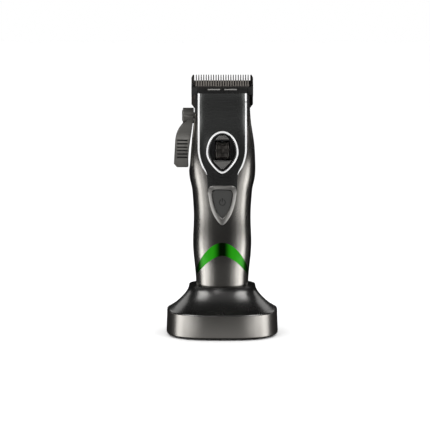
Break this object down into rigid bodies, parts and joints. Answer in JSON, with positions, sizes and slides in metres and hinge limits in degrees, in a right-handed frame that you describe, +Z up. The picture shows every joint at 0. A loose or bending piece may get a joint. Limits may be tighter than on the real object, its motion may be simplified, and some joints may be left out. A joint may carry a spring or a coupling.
{
  "type": "hair clipper",
  "caption": "Cordless hair clipper standing in a flared charging dock: wide comb blade, side taper lever, thumb wheel, power button and a crescent light band.",
  "frame": {"origin": "on the table, under the centre of the dock", "axes": "+Z up along the clipper, -Y towards the viewer and the clipper's face, -X towards the taper lever"},
  "size_m": [0.0838, 0.068, 0.1937],
  "materials": {
    "gunmetal": "satin metallic paint, warm grey",
    "black_shell": "fine satin",
    "steel_screw": "plain turned steel",
    "brass_contact": "gold-plated",
    "face_plate": "dark grey, fine brushed lines across",
    "chrome_trim": "polished",
    "black_gloss": "gloss",
    "bezel_metal": "satin metallic",
    "button_grey": "satin dark grey",
    "green_band": "metallic green lacquer",
    "spring_steel": "ground spring steel",
    "blade_steel": "ground blade steel",
    "nylon": "natural nylon",
    "nylon_dark": "moulded dark nylon",
    "lever_metal": "satin metallic, dark",
    "motor_steel": "drawn steel can",
    "ferrite": "ferrite magnet",
    "cell_wrap": "shrink-wrap film",
    "board_green": "solder mask",
    "chip_black": "moulded",
    "led_white": "clear epoxy",
    "dock_metal": "satin metallic, warm grey",
    "dock_black": "fine satin",
    "foot_rubber": "soft",
    "ballast_steel": "zinc plated",
    "socket_steel": "stamped stainless"
  },
  "bodies": {
    "dock": {"dock_base": "dock_metal", "dock_cover": "dock_black", "bottom_plate": "black_shell", "dock_feet": "foot_rubber", "dock_screws": "steel_screw", "ballast_plate": "ballast_steel", "dock_board": "board_green", "usb_socket": "socket_steel", "pin_barrels": "brass_contact"},
    "pin_left": {"charge_pin_left": "brass_contact"},
    "pin_right": {"charge_pin_right": "brass_contact"},
    "handpiece": {"front_shell": "gunmetal", "back_shell": "black_shell", "housing_screws": "steel_screw", "bottom_cap": "black_shell", "charge_contacts": "brass_contact", "face_plate": "face_plate", "side_trims": "chrome_trim", "window_ring": "chrome_trim", "window_dish": "black_gloss", "wheel_sensor": "black_gloss", "button_bezel": "bezel_metal", "light_band": "green_band", "head_frame": "black_shell", "blade_guard": "black_gloss", "tension_spring": "spring_steel", "motor_can": "motor_steel", "motor_cap": "nylon", "motor_magnets": "ferrite", "motor_screws": "steel_screw", "battery_cell": "cell_wrap", "battery_holder": "nylon_dark", "circuit_board": "board_green", "board_parts": "chip_black", "power_switch": "chip_black", "band_leds": "led_white"},
    "thumb_wheel": {"speed_wheel": "black_gloss", "wheel_axle": "steel_screw"},
    "button": {"power_button": "button_grey"},
    "lever": {"taper_lever": "lever_metal", "lever_shaft": "steel_screw", "lever_screw": "steel_screw"},
    "carriage": {"blade_carriage": "nylon_dark", "stationary_blade": "blade_steel", "blade_screws": "steel_screw"},
    "cutter": {"cutter_blade": "blade_steel", "cam_follower": "nylon"},
    "rotor": {"rotor_core": "motor_steel", "rotor_shaft": "steel_screw", "eccentric": "nylon"}
  },
  "joints": [
    {"name": "lift_out", "type": "slide", "parent": "dock", "child": "handpiece", "axis": [0, 0, 1], "range_m": [0, 0.06]},
    {"name": "lever_turn", "type": "hinge", "parent": "handpiece", "child": "lever", "pos_m": [-0.0254, 0.003, 0.1637], "axis": [1, 0, 0], "range_deg": [0, 40]},
    {"name": "taper_slide", "type": "slide", "parent": "handpiece", "child": "carriage", "axis": [0, 0, 1], "range_m": [-0.00206, 0]},
    {"name": "cutter_stroke", "type": "slide", "parent": "handpiece", "child": "cutter", "axis": [1, 0, 0], "range_m": [-0.0013, 0.0013]},
    {"name": "motor_spin", "type": "hinge", "parent": "handpiece", "child": "rotor", "pos_m": [0, 0.0034, 0.14], "axis": [0, 0, 1], "continuous": true},
    {"name": "wheel_turn", "type": "hinge", "parent": "handpiece", "child": "thumb_wheel", "pos_m": [0, -0.0149, 0.1394], "axis": [1, 0, 0], "continuous": true},
    {"name": "button_press", "type": "slide", "parent": "handpiece", "child": "button", "axis": [0, 1, 0], "range_m": [0, 0.0008], "stiffness_N_per_m": 500},
    {"name": "pin_left_press", "type": "slide", "parent": "dock", "child": "pin_left", "axis": [0, 0, -1], "range_m": [0, 0.0012], "stiffness_N_per_m": 150},
    {"name": "pin_right_press", "type": "slide", "parent": "dock", "child": "pin_right", "axis": [0, 0, -1], "range_m": [0, 0.0012], "stiffness_N_per_m": 150}
  ],
  "couplings": [
    {"joint": "taper_slide", "follows": "lever_turn", "m_per_rad": -0.0029364}
  ]
}
